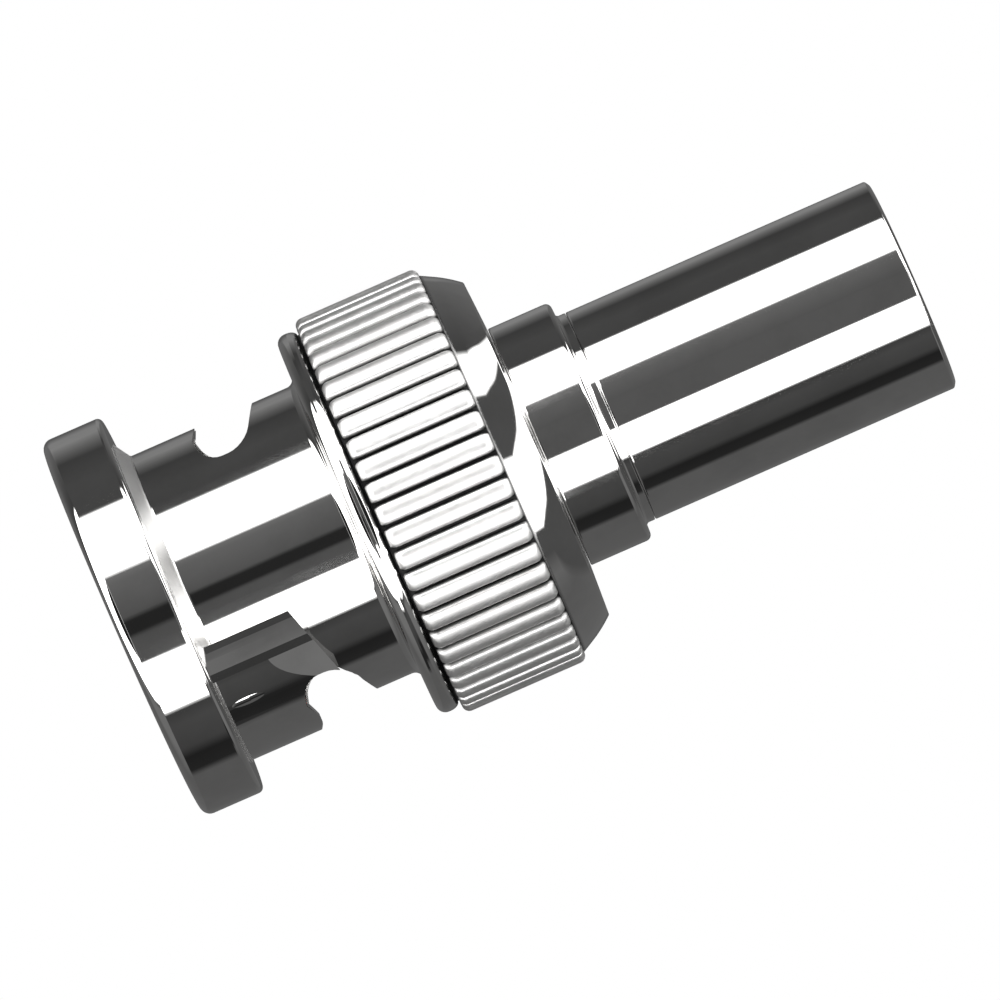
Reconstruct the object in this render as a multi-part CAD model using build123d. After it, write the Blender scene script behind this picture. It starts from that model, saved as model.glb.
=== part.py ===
from build123d import *
import math
import os

# Coaxial bayonet terminator: a plug with a quarter-turn coupling nut, and a resistor inside that ends
# the line. All sizes are in millimetres. +Z runs along the axis from the mating face, at height 0, to
# the closed end of the barrel. Angles go round the axis from the -Y side towards the +X side.

# Socket that the plug takes, as its standard gives it
socket_barrel_r = 4.80
socket_depth = 8.36
lug_reach = 5.535
lug_d = 1.98

# Clearances
bore_clearance = 0.10
lug_clearance = 0.06
root_clearance = 0.085
neck_clearance = 0.08
stack_gap = 0.02
fit_gap = 0.02

# Coupling nut
nut_length = 15.50
flange_r = 7.00
flange_length = 2.25
flange_edge = 0.20
flange_cone_r = 5.98
flange_cone_length = 0.40
sleeve_r = 5.35
ridge_r = 7.06
ridge_length = 0.80
ridge_start = 8.80
ridge_round = 0.28
ridge_back_round = 0.16
ridge_gap = 0.06
ridge_gap_r = 6.85
knurl_r = 7.35
knurl_chamfer = 0.22
flute_count = 54
flute_depth = 0.30
flute_mouth = 0.30
flute_floor = 0.12
tail_step = 0.75
tail_length = 1.35
tail_cone_length = 0.85
tail_round = 0.35
tail_dish = 0.10
bore_lead = 0.25

# Bayonet tracks, windows and covers in the nut
entry_angle = 32.0
ramp_turn = 34.0
entry_depth = 4.30
ramp_rise = 1.85
window_floor = 4.07
window_front = 5.12
window_pocket = 4.84
window_floor_end = 6.52
window_back = 7.35
window_front_round = 0.75
window_back_round = 0.40
cover_r = 5.87
cover_side = 1.68
cover_front_length = 5.50
cover_slope = 0.338
cover_round = 0.25
cover_step_height = 5.50
cover_crease_side = 2.46
cover_crease_height = 5.60
cover_flat_end = 3.50
facet_turn = 50.8
facet_tilt = 4.0
facet_distance = 6.10
near_cover_reach = 5.87
far_cover_reach = 5.30

# Outer contact
contact_recess = 0.60
contact_r = 4.05
contact_bore_r = 3.30
contact_lead = 0.30
finger_count = 6
finger_slot = 0.40
finger_length = 7.00
first_slot_angle = 20.0
contact_seat_depth = 0.22
contact_seat_lead = 0.12
contact_flange_r = 4.72
contact_flange_length = 0.50
contact_tail_r = 3.00
contact_tail_bore_r = 2.60
contact_tail_length = 2.20

# Gasket, washers and clip
gasket_length = 0.70
gasket_squeeze = 0.30
gasket_r = 4.78
gasket_round = 0.18
clip_land = 0.34
clip_length = 0.45
clip_groove_r = 3.50
clip_r = 4.60
clip_opening = 50.0
washer_r = 4.78
front_washer_length = 0.25
wave_height = 0.70
wave_thickness = 0.22
wave_count = 3
wave_split = 8.0
thrust_washer_length = 0.22

# Connector body
neck_r = 3.85
collar_r = 4.425
collar_length = 2.30
collar_round = 0.26
collar_front_round = 0.12
foot_r = 3.865
foot_fillet = 0.26
foot_length = 0.10
spigot_r = 3.30
rear_insulator_r = 2.58
chamber_r = 2.40

# Barrel
barrel_length = 11.30
barrel_end_wall = 0.90
barrel_end_room = 1.40
barrel_round = 0.18
barrel_front_chamfer = 0.06

# Centre contact and its insulators
pin_r = 0.675
pin_recess = 1.30
pin_tip_round = 0.45
pin_stem_r = 0.95
pin_stem_proud = 0.05
pin_shoulder_r = 1.35
pin_shoulder_length = 0.80
cup_r = 0.90
cup_length = 2.90
cup_bore_r = 0.42
cup_bore_depth = 2.20
dielectric_bore_r = 2.45
dielectric_recess = 1.30
dielectric_base_depth = 5.50
sleeve_wall_end = 0.44
rear_insulator_length = 3.90

# Resistor and its earth end
lead_r = 0.30
lead_in_cup = 1.80
front_lead_length = 3.70
core_r = 0.85
cap_wall = 0.15
cap_length = 1.20
cap_end = 0.20
core_length = 6.00
coating_wall = 0.20
earth_disc_r = 2.70
earth_disc_length = 1.00
tube_wall = 0.60
tube_end_gap = 0.86
solder_r = 0.85
solder_height = 0.40

# Sizes and heights worked out from the sizes above
tail_r = knurl_r - tail_step
knurl_start = ridge_start + ridge_length
knurl_end = nut_length - tail_length
ridge_end = knurl_start - ridge_gap
spigot_length = barrel_length - barrel_end_wall - barrel_end_room
nut_bore_r = socket_barrel_r + bore_clearance
track_root_r = lug_reach + root_clearance
track_width = lug_d + 2 * lug_clearance
contact_seat_r = contact_r - contact_seat_depth
dielectric_base_z = contact_recess + dielectric_base_depth
gasket_z = contact_recess + socket_depth - gasket_squeeze
contact_flange_z = gasket_z + gasket_length
body_z = contact_flange_z + contact_flange_length
clip_groove_z = body_z + clip_land
clip_z = clip_groove_z + stack_gap
front_washer_z = clip_z + clip_length + 2 * stack_gap
wave_z = front_washer_z + front_washer_length + stack_gap
thrust_washer_z = wave_z + wave_height + stack_gap
lip_z = thrust_washer_z + thrust_washer_length + stack_gap
collar_z = nut_length + tail_dish + stack_gap
collar_end_z = collar_z + collar_length
barrel_z = collar_end_z + foot_fillet + foot_length
spigot_end_z = barrel_z + spigot_length
barrel_end_z = barrel_z + barrel_length
contact_tail_z = body_z + contact_tail_length
cup_z = contact_tail_z + fit_gap + pin_shoulder_length + 2 * fit_gap
cup_end_z = cup_z + cup_length
rear_insulator_end_z = contact_tail_z + fit_gap + rear_insulator_length
lip_bore_r = neck_r + neck_clearance


def turned(outline):
    """A turned piece, from the (radius, height) corners of its half section.
    A corner with a third value is rounded to that radius."""
    section = make_face(Polyline([corner[:2] for corner in outline], close=True))
    for corner in outline:
        if len(corner) == 3:
            sharp = section.vertices().sort_by_distance(Vector(corner[0], corner[1]))[0]
            section = fillet(sharp, corner[2])
    return revolve(Plane.XZ * section, Axis.Z)


def ring(outer_r, inner_r, low, high):
    """A plain turned ring between two heights."""
    return turned([(inner_r, low), (outer_r, low), (outer_r, high), (inner_r, high)])


def radial_plane(angle, height):
    """A plane across the radius at an angle round the axis, with its own Y along the axis."""
    turn = math.radians(angle)
    outward = (math.sin(turn), -math.cos(turn), 0)
    onward = (math.cos(turn), math.sin(turn), 0)
    return Plane(origin=(0, 0, height), x_dir=onward, z_dir=outward)


def knurled_grip():
    """Straight flutes round the grip: a star outline drawn out along the axis, with chamfered ends."""
    pitch = 2 * math.pi / flute_count
    floor_r = knurl_r - flute_depth
    corners = []
    for index in range(flute_count):
        middle = index * pitch
        half_mouth = flute_mouth / 2 / knurl_r
        half_floor = flute_floor / 2 / floor_r
        for radius, turn in (
            (knurl_r, middle - pitch + half_mouth),
            (knurl_r, middle - half_mouth),
            (floor_r, middle - half_floor),
            (floor_r, middle + half_floor),
        ):
            corners.append((radius * math.cos(turn), radius * math.sin(turn)))
    outline = make_face(Polyline(corners, close=True))
    star = extrude(Pos(0, 0, knurl_start) * outline, knurl_end - knurl_start)
    ends = turned([
        (0, knurl_start),
        (knurl_r - knurl_chamfer, knurl_start),
        (knurl_r + fit_gap, knurl_start + knurl_chamfer + fit_gap),
        (knurl_r + fit_gap, knurl_end - knurl_chamfer - fit_gap),
        (knurl_r - knurl_chamfer, knurl_end),
        (0, knurl_end),
    ])
    return star & ends


def track_cover(reach):
    """The raised cover over one bayonet track, on the -Y half. It has a step along its front side, a
    narrow strip and a crease beside that, and a slanting facet near the window."""
    low = flange_length / 2
    side_height = cover_front_length
    end_height = cover_front_length + cover_slope * (reach - cover_side)
    outline = make_face(Polyline([
        (cover_side, low),
        (cover_side, side_height),
        (reach, end_height),
        (reach, low),
    ], close=True))
    corner = outline.vertices().sort_by_distance(Vector(cover_side, side_height))[0]
    outline = fillet(corner, cover_round)
    block = extrude(Plane.XZ * outline, flange_r)
    strip = make_face(Polyline([
        (cover_side, -nut_bore_r),
        (cover_side, -cover_step_height),
        (cover_crease_side, -cover_crease_height),
        (cover_flat_end, -math.sqrt(cover_r ** 2 - cover_flat_end ** 2)),
    ], close=True))
    wall = ring(cover_r, nut_bore_r, low, ridge_start)
    wall = wall + extrude(Pos(0, 0, low) * strip, ridge_start - low)
    turn = math.radians(facet_turn)
    tilt = math.radians(facet_tilt)
    outward = Vector(math.cos(tilt) * math.sin(turn), -math.cos(tilt) * math.cos(turn), math.sin(tilt))
    facet = Plane(origin=outward * facet_distance, z_dir=outward)
    beyond_facet = extrude(facet * Rectangle(4 * flange_r, 4 * flange_r), flange_r)
    return (block & wall) - beyond_facet


def window():
    """The see-through window at the end of one track, on the +X side: it holds the seated lug."""
    beyond = cover_r + 1
    slope = (window_back - window_floor_end) / (sleeve_r - window_floor)
    outline = make_face(Polyline([
        (window_floor, window_pocket + window_front_round / 3),
        (nut_bore_r, window_pocket),
        (sleeve_r, window_front),
        (beyond, window_front),
        (beyond, window_floor_end + slope * (beyond - window_floor)),
        (window_floor, window_floor_end),
    ], close=True))
    for height, radius in (
        (window_pocket + window_front_round / 3, window_front_round),
        (window_floor_end, window_back_round),
    ):
        corner = outline.vertices().sort_by_distance(Vector(window_floor, height))[0]
        outline = fillet(corner, radius)
    return extrude(Plane.XZ * outline, cover_r, both=True)


def lug_track():
    """One bayonet track inside the nut: in from the mating face, then up a ramp to the window."""
    entry = radial_plane(entry_angle, 0) * SlotCenterToCenter(2 * entry_depth, track_width, rotation=90)
    half_turn = math.radians(ramp_turn / 2)
    half_run = nut_bore_r * math.sin(half_turn)
    slope = math.degrees(math.atan2(ramp_rise, 2 * half_run))
    middle = radial_plane(entry_angle + ramp_turn / 2, entry_depth + ramp_rise / 2)
    ramp = middle * SlotCenterToCenter(math.hypot(ramp_rise, 2 * half_run), track_width, rotation=slope)
    cutter = extrude(entry, flange_r) + extrude(ramp, flange_r)
    return cutter & ring(track_root_r, nut_bore_r / 2, -track_width, ridge_start)


def coupling_nut():
    """Cast and plated nut: flange, thin sleeve with tracks, ridge, knurled grip and a lip at the back."""
    floor_r = knurl_r - flute_depth
    blank = turned([
        (nut_bore_r + bore_lead, 0),
        (flange_r - flange_edge, 0),
        (flange_r, flange_edge),
        (flange_r, flange_length, flange_edge),
        (flange_cone_r, flange_length),
        (sleeve_r, flange_length + flange_cone_length),
        (sleeve_r, ridge_start, ridge_round),
        (ridge_r, ridge_start, ridge_round),
        (ridge_r, ridge_end, ridge_back_round),
        (ridge_gap_r, ridge_end),
        (ridge_gap_r, knurl_start),
        (floor_r, knurl_start),
        (floor_r, knurl_end),
        (tail_r, knurl_end + tail_cone_length, tail_round),
        (tail_r, nut_length, tail_round),
        (collar_r, nut_length + tail_dish),
        (lip_bore_r, nut_length + tail_dish),
        (lip_bore_r, lip_z),
        (nut_bore_r, lip_z),
        (nut_bore_r, bore_lead),
    ])
    nut = blank + track_cover(near_cover_reach) + Rot(0, 0, 180) * track_cover(far_cover_reach)
    nut = nut + (knurled_grip() - Pos(0, 0, knurl_start) * Cylinder(
        floor_r - flute_depth, knurl_end - knurl_start, align=(Align.CENTER, Align.CENTER, Align.MIN)))
    for turn in (0, 180):
        nut = nut - Rot(0, 0, turn) * window()
        nut = nut - Rot(0, 0, turn) * lug_track()
    return nut


def outer_contact():
    """Spring sleeve that grips the inside of the socket, slotted into fingers, with a flange and a tail."""
    sleeve = turned([
        (contact_bore_r, contact_recess),
        (contact_r - contact_lead, contact_recess),
        (contact_r, contact_recess + contact_lead),
        (contact_r, gasket_z - contact_seat_lead),
        (contact_seat_r, gasket_z - contact_seat_lead),
        (contact_seat_r, contact_flange_z),
        (contact_flange_r, contact_flange_z),
        (contact_flange_r, body_z),
        (contact_tail_r, body_z),
        (contact_tail_r, contact_tail_z),
        (contact_tail_bore_r, contact_tail_z),
        (contact_tail_bore_r, contact_flange_z - sleeve_wall_end),
        (contact_bore_r, contact_flange_z - sleeve_wall_end),
    ])
    slot_middle = contact_recess + finger_length / 2
    for index in range(finger_count):
        angle = first_slot_angle + index * 360 / finger_count
        mouth = radial_plane(angle, slot_middle) * Rectangle(finger_slot, finger_length + fit_gap)
        sleeve = sleeve - extrude(mouth, contact_r + 1)
    return sleeve


def gasket():
    """Moulded seal round the root of the outer contact, which the socket's rim presses on."""
    inner = contact_seat_r + fit_gap
    top = contact_flange_z - fit_gap / 2
    return turned([
        (inner, gasket_z),
        (gasket_r, gasket_z, gasket_round),
        (gasket_r, top),
        (inner, top),
    ])


def retaining_clip():
    """Open spring clip in the body's groove, which takes the pull of the nut through the washers."""
    clip = ring(clip_r, clip_groove_r + fit_gap, clip_z, clip_z + clip_length)
    reach = 2 * clip_r
    half = math.radians(clip_opening / 2)
    wedge = make_face(Polyline([
        (0, 0),
        (reach * math.cos(half), -reach * math.sin(half)),
        (reach * math.cos(half), reach * math.sin(half)),
    ], close=True))
    return clip - extrude(Pos(0, 0, clip_z - 1) * wedge, clip_length + 2)


def front_washer():
    """Flat washer between the clip and the wave washer."""
    return ring(washer_r, neck_r + fit_gap, front_washer_z, front_washer_z + front_washer_length)


def wavy_line(radius):
    """The middle line of the wave washer at one radius, open at the split."""
    swing = (wave_height - wave_thickness) / 2
    middle_z = wave_z + wave_height / 2
    steps = 8 * wave_count
    start_turn = math.radians(wave_split / 2)
    step_turn = (2 * math.pi - 2 * start_turn) / steps
    points = []
    for index in range(steps + 1):
        turn = start_turn + index * step_turn
        height = middle_z - swing * math.cos(wave_count * turn)
        points.append((radius * math.cos(turn), radius * math.sin(turn), height))
    return Spline(points)


def wave_washer():
    """Split spring washer: a flat strip section carried round the neck along a wavy line."""
    middle_r = (lip_bore_r + washer_r) / 2
    width = washer_r - lip_bore_r - 2 * fit_gap
    line = wavy_line(middle_r)
    rail = wavy_line(washer_r + width)
    start_turn = math.radians(wave_split / 2)
    outward = (math.cos(start_turn), math.sin(start_turn), 0)
    start = Plane(origin=line @ 0, x_dir=outward, z_dir=line % 0)
    return sweep(start * Rectangle(width, wave_thickness), path=line, binormal=rail.edge())


def thrust_washer():
    """Flat washer that turns freely against the lip of the nut and slides with it."""
    return ring(washer_r, lip_bore_r, thrust_washer_z, thrust_washer_z + thrust_washer_length)


def connector_body():
    """Turned and plated body: neck with the clip groove, collar behind the nut, and the barrel's spigot."""
    tail_bore = contact_tail_r + fit_gap
    step_r = rear_insulator_r + fit_gap
    disc_z = spigot_end_z - earth_disc_length
    return turned([
        (tail_bore, body_z),
        (neck_r, body_z),
        (neck_r, clip_groove_z),
        (clip_groove_r, clip_groove_z),
        (clip_groove_r, clip_z + clip_length + stack_gap),
        (neck_r, clip_z + clip_length + stack_gap),
        (neck_r, collar_z),
        (collar_r, collar_z, collar_front_round),
        (collar_r, collar_end_z, collar_round),
        (foot_r, collar_end_z, foot_fillet),
        (foot_r, barrel_z - fit_gap),
        (spigot_r, barrel_z - fit_gap),
        (spigot_r, spigot_end_z),
        (earth_disc_r, spigot_end_z),
        (earth_disc_r, disc_z),
        (chamber_r, disc_z),
        (chamber_r, rear_insulator_end_z + fit_gap),
        (step_r, rear_insulator_end_z + fit_gap),
        (step_r, contact_tail_z + fit_gap),
        (tail_bore, contact_tail_z + fit_gap),
    ])


def barrel():
    """Turned and plated barrel with a closed end, pressed over the body's spigot."""
    inner = spigot_r + fit_gap
    return turned([
        (inner, barrel_z),
        (foot_r - barrel_front_chamfer, barrel_z),
        (foot_r, barrel_z + barrel_front_chamfer),
        (foot_r, barrel_end_z, barrel_round),
        (0, barrel_end_z),
        (0, barrel_end_z - barrel_end_wall),
        (inner, barrel_end_z - barrel_end_wall),
    ])


def contact_pin():
    """Gold-plated centre pin with a round tip, a shoulder that holds it, and a solder cup at the back."""
    shoulder_z = contact_tail_z + fit_gap
    shoulder_end = shoulder_z + pin_shoulder_length
    return turned([
        (0, pin_recess),
        (pin_r, pin_recess, pin_tip_round),
        (pin_r, dielectric_base_z - pin_stem_proud),
        (pin_stem_r, dielectric_base_z - pin_stem_proud),
        (pin_stem_r, shoulder_z),
        (pin_shoulder_r, shoulder_z),
        (pin_shoulder_r, shoulder_end),
        (cup_r, shoulder_end),
        (cup_r, cup_end_z),
        (cup_bore_r, cup_end_z),
        (cup_bore_r, cup_end_z - cup_bore_depth),
        (0, cup_end_z - cup_bore_depth),
    ])


def front_insulator():
    """White insulator inside the outer contact: a base round the pin and a tube open to the front."""
    outer = contact_bore_r - fit_gap
    tail = contact_tail_bore_r - fit_gap
    step_z = contact_flange_z - sleeve_wall_end - fit_gap
    hole = pin_stem_r + fit_gap
    return turned([
        (dielectric_bore_r, contact_recess + dielectric_recess),
        (outer, contact_recess + dielectric_recess),
        (outer, step_z),
        (tail, step_z),
        (tail, contact_tail_z),
        (hole, contact_tail_z),
        (hole, dielectric_base_z),
        (dielectric_bore_r, dielectric_base_z),
    ])


def rear_insulator():
    """White bush in the body that traps the pin's shoulder and centres the solder cup."""
    front = contact_tail_z + fit_gap
    pocket_end = front + pin_shoulder_length + fit_gap
    return turned([
        (pin_shoulder_r + fit_gap, front),
        (rear_insulator_r, front),
        (rear_insulator_r, rear_insulator_end_z),
        (cup_r + fit_gap, rear_insulator_end_z),
        (cup_r + fit_gap, pocket_end),
        (pin_shoulder_r + fit_gap, pocket_end),
    ])


def resistor():
    """The resistor's own pieces: ceramic core, two pressed end caps, two leads and the coating."""
    lead_z = cup_end_z - lead_in_cup
    front_z = lead_z + front_lead_length
    core_z = front_z + cap_end
    core_end = core_z + core_length
    rear_z = core_end + cap_end
    front_cap_z = core_z + cap_length
    rear_cap_z = core_end - cap_length
    cap_r = core_r + cap_wall
    coating_r = cap_r + coating_wall
    front_cap = turned([
        (0, front_z), (cap_r, front_z), (cap_r, front_cap_z),
        (core_r, front_cap_z), (core_r, core_z), (0, core_z),
    ])
    rear_cap = turned([
        (0, rear_z), (cap_r, rear_z), (cap_r, rear_cap_z),
        (core_r, rear_cap_z), (core_r, core_end), (0, core_end),
    ])
    coating = turned([
        (lead_r, front_z - coating_wall),
        (coating_r, front_z - coating_wall, coating_wall),
        (coating_r, front_cap_z + coating_wall),
        (cap_r, front_cap_z + 2 * coating_wall),
        (cap_r, rear_cap_z - 2 * coating_wall),
        (coating_r, rear_cap_z - coating_wall),
        (coating_r, rear_z + coating_wall, coating_wall),
        (lead_r, rear_z + coating_wall),
        (lead_r, rear_z),
        (cap_r, rear_z),
        (cap_r, rear_cap_z),
        (core_r, rear_cap_z),
        (core_r, front_cap_z),
        (cap_r, front_cap_z),
        (cap_r, front_z),
        (lead_r, front_z),
    ])
    lead_end = spigot_end_z + solder_height / 2
    return {
        "resistor_core": turned([(0, core_z), (core_r, core_z), (core_r, core_end), (0, core_end)]),
        "resistor_front_cap": front_cap,
        "resistor_rear_cap": rear_cap,
        "resistor_coating": coating,
        "resistor_front_lead": turned([(0, lead_z), (lead_r, lead_z), (lead_r, front_z), (0, front_z)]),
        "resistor_rear_lead": turned([(0, rear_z), (lead_r, rear_z), (lead_r, lead_end), (0, lead_end)]),
    }


def insulating_tube():
    """Plastic tube round the resistor, which keeps it off the body's bore."""
    outer = chamber_r - 2 * fit_gap
    end = spigot_end_z - earth_disc_length - tube_end_gap
    return ring(outer, outer - tube_wall, rear_insulator_end_z + 2 * fit_gap, end)


def earth_disc():
    """Plated disc pressed into the end of the body: the resistor's rear lead is soldered to it."""
    return ring(earth_disc_r, lead_r + fit_gap, spigot_end_z - earth_disc_length, spigot_end_z)


def front_solder():
    """Solder between the front lead and the wall of the pin's cup."""
    return turned([
        (lead_r, cup_end_z - lead_in_cup), (cup_bore_r, cup_end_z - lead_in_cup), (cup_bore_r, cup_end_z),
        (lead_r, cup_end_z + cup_bore_r - lead_r),
    ])


def rear_solder():
    """Solder cone over the end of the rear lead, on the earth disc."""
    tip = spigot_end_z + solder_height
    lead_end = spigot_end_z + solder_height / 2
    return turned([
        (lead_r, spigot_end_z), (solder_r, spigot_end_z), (lead_r, tip), (0, tip),
        (0, lead_end), (lead_r, lead_end),
    ])


pieces = {
    "coupling_nut": coupling_nut(),
    "connector_body": connector_body(),
    "barrel": barrel(),
    "outer_contact": outer_contact(),
    "gasket": gasket(),
    "retaining_clip": retaining_clip(),
    "front_washer": front_washer(),
    "wave_washer": wave_washer(),
    "thrust_washer": thrust_washer(),
    "contact_pin": contact_pin(),
    "front_insulator": front_insulator(),
    "rear_insulator": rear_insulator(),
    "insulating_tube": insulating_tube(),
    "earth_disc": earth_disc(),
    "front_solder": front_solder(),
    "rear_solder": rear_solder(),
}
pieces.update(resistor())

os.makedirs("parts", exist_ok=True)
for name, piece in pieces.items():
    export_step(piece, f"parts/{name}.step")
    print(name, round(piece.volume, 4), piece.is_valid)
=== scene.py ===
import math

import bmesh
import bpy
from mathutils import Matrix, Vector


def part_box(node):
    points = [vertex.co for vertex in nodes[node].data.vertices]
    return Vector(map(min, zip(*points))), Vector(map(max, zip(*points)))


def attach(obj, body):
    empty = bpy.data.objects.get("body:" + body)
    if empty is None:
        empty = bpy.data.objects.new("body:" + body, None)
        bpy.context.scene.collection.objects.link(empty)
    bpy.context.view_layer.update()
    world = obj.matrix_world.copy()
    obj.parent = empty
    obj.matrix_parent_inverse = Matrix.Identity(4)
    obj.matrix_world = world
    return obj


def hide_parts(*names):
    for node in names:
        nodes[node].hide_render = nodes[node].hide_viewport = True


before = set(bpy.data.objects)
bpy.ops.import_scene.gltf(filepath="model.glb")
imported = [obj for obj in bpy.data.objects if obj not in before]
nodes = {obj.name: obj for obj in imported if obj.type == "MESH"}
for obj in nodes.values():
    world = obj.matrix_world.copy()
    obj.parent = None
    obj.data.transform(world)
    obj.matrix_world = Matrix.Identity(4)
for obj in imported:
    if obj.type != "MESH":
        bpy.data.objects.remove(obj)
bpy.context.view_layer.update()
scene = bpy.context.scene

# Table top: a plain pale sheet under the plug, which the camera sees as white paper. It lights the plug
# from below and isn't mirrored in the plating, because the tent's strips below are lit apart.
mm = 0.001
table_half_size = 4.0
table_colour = (0.86, 0.86, 0.86, 1)


def new_nodes(owner):
    """The empty node tree of a material or a world."""
    owner.use_nodes = True
    owner.node_tree.nodes.clear()
    return owner.node_tree


def add(tree, kind, inputs=None, **settings):
    """One shader node. Each of its inputs, by name or place, gets a value or another node's output."""
    node = tree.nodes.new(kind)
    for name, value in settings.items():
        setattr(node, name, value)
    for name, value in (inputs or {}).items():
        if isinstance(value, bpy.types.NodeSocket):
            tree.links.new(value, node.inputs[name])
        else:
            node.inputs[name].default_value = value
    return node


def white_to_camera(tree, lit, paper):
    """Mixes a lit shader with plain white, which only the camera sees."""
    white = add(tree, paper, {"Color": (1, 1, 1, 1)})
    ray = add(tree, "ShaderNodeLightPath")
    return add(tree, "ShaderNodeMixShader", {0: ray.outputs["Is Camera Ray"], 1: lit.outputs[0],
                                             2: white.outputs[0]})


table_form = bmesh.new()
bmesh.ops.create_grid(table_form, x_segments=1, y_segments=1, size=table_half_size)
table_mesh = bpy.data.meshes.new("table_top")
table_form.to_mesh(table_mesh)
table_form.free()
table = bpy.data.objects.new("table_top", table_mesh)
scene.collection.objects.link(table)
table.visible_glossy = False
table_paint = bpy.data.materials.new("table_top_paint")
tree = new_nodes(table_paint)
dull = add(tree, "ShaderNodeBsdfDiffuse", {"Color": table_colour})
seen = white_to_camera(tree, dull, "ShaderNodeEmission")
add(tree, "ShaderNodeOutputMaterial", {"Surface": seen.outputs[0]})
table_mesh.materials.append(table_paint)

# Light tent: upright white strips and grey cards round the plug, told apart by direction only. Each
# stop is an angle round the axis in degrees, from the camera's side towards -X, and a brightness.
strip_light = 4.5
level_stops = (
    (-180, 0.10), (-168, 0.15), (-150, 0.13), (-101, 0.13), (-96, 0.025), (-84, 0.02), (-77, 0.07),
    (-60, 0.085), (-51, 0.06), (-49, strip_light), (-19, strip_light), (-17, 0.12), (-3, 0.11),
    (0, 0.025), (7, 0.025), (10, 0.12), (30, 0.17), (34.5, 0.22), (36.5, strip_light),
    (72.5, strip_light), (76, 0.08), (100, 0.085), (122, 0.06), (132, 0.15), (145, 0.28), (156, 0.26),
    (168, 0.12), (180, 0.10),
)
# Over and under the low cards before the camera the tent is one wide white sheet.
slanted_stops = (
    (-180, 0.16), (-110, 0.14), (-80, 0.22), (-53, 0.22), (-49, 0.06), (-46, strip_light),
    (78, strip_light), (81, 0.06), (110, 0.10), (150, 0.16), (180, 0.16),
)
card_top = math.sin(math.radians(9))
card_edge = math.sin(math.radians(12))
# Just under the level the strips lean over, by this many radians for each unit of height, so that the nut
# and the body behind it don't mirror them quite in line.
lean = 35
lean_middle = -0.0025
lean_limit = 0.002
# Over that place a grey card before the camera covers the dark line: it starts and is full at these
# cosines of the angle from the camera's side.
line_card_grey = 0.125
line_card_start = 0.9
line_card_full = 0.97
# High up, behind the plug's closed end, hang four grey cards. Each edge is a direction across it in
# (towards -X, towards the camera) and a distance; the grey side is the far one.
roof_low = 0.66
roof_high = 0.72
roof_grey = 0.10
soft_edge = 0.02
upper_card_edges = (((0.84, 0.543), 0.304), ((-1, 0), -0.52))
lower_card_edges = (((-0.396, -0.918), -0.107), ((-0.6, 0.8), -0.16))
end_card_edges = (((1, -0.45), 0.72),)
back_card_edges = (((0, -1), 0.4),)
# Before the camera stands a black oval, which shows over and under the level cards.
oval_middle = math.radians(5.5)
oval_half_width = math.radians(25)
oval_half_height = 0.62
oval_soft_edge = 0.05
oval_grey = 0.02


def grey_share(brightness):
    """A brightness as a colour, in shares of the strips' own."""
    share = brightness / strip_light
    return (share, share, share, 1)


def ring_of_stops(tree, share, stops):
    """A brightness, as a share of the strips' own, that depends on the angle round the axis."""
    ramp = add(tree, "ShaderNodeValToRGB", {"Fac": share})
    for index, (angle, value) in enumerate(stops):
        position = (angle + 180) / 360
        if index < 2:
            stop = ramp.color_ramp.elements[index]
            stop.position = position
        else:
            stop = ramp.color_ramp.elements.new(position)
        stop.color = grey_share(value)
    return ramp.outputs[0]


def maths(tree, operation, first, second):
    return add(tree, "ShaderNodeMath", {0: first, 1: second}, operation=operation).outputs[0]


def value_range(tree, value, low, high, low_to=0.0, high_to=1.0):
    """A value spread from one range to another, and held inside it."""
    return add(tree, "ShaderNodeMapRange", {"Value": value, "From Min": low, "From Max": high,
                                            "To Min": low_to, "To Max": high_to}).outputs[0]


def roof_card(tree, direction, edges):
    """One where a direction lies past all of a card's straight edges, and nought elsewhere."""
    inside = None
    for across, distance in edges:
        reach = add(tree, "ShaderNodeVectorMath", {0: direction, 1: (*across, 0)}, operation="DOT_PRODUCT")
        past = value_range(tree, reach.outputs["Value"], distance - soft_edge, distance + soft_edge)
        inside = past if inside is None else maths(tree, "MULTIPLY", inside, past)
    return inside


def mix(tree, factor, first, second):
    """A mix of two colours."""
    return add(tree, "ShaderNodeMix", {0: factor, 6: first, 7: second}, data_type="RGBA").outputs[2]


scene.view_settings.view_transform = "Standard"
tent = bpy.data.worlds.new("light_tent")
scene.world = tent
tree = new_nodes(tent)
place = add(tree, "ShaderNodeTexCoord")
direction = add(tree, "ShaderNodeVectorMath", {0: place.outputs["Generated"], 1: (-1, -1, 1)},
                operation="MULTIPLY").outputs[0]
split = add(tree, "ShaderNodeSeparateXYZ", {0: direction})
turn = maths(tree, "ARCTAN2", split.outputs["X"], split.outputs["Y"])
level = split.outputs["Z"]
rise = add(tree, "ShaderNodeClamp", {"Value": maths(tree, "SUBTRACT", level, lean_middle),
                                     "Min": -lean_limit, "Max": lean_limit}).outputs[0]
leaning_turn = maths(tree, "SUBTRACT", turn, maths(tree, "MULTIPLY", rise, lean))
level_light = ring_of_stops(tree, value_range(tree, leaning_turn, -math.pi, math.pi), level_stops)
over_line = value_range(tree, level, lean_middle - lean_limit, lean_middle + lean_limit)
ahead = value_range(tree, maths(tree, "COSINE", turn, 0), line_card_start, line_card_full)
line_card = maths(tree, "MULTIPLY", maths(tree, "MULTIPLY", over_line, ahead), line_card_grey / strip_light)
level_light = maths(tree, "MAXIMUM", level_light, line_card)
slanted_light = ring_of_stops(tree, value_range(tree, turn, -math.pi, math.pi), slanted_stops)
slanted = value_range(tree, maths(tree, "ABSOLUTE", level, 0), card_top, card_edge)
ring_light = mix(tree, slanted, level_light, slanted_light)
grey = 0.0
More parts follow.
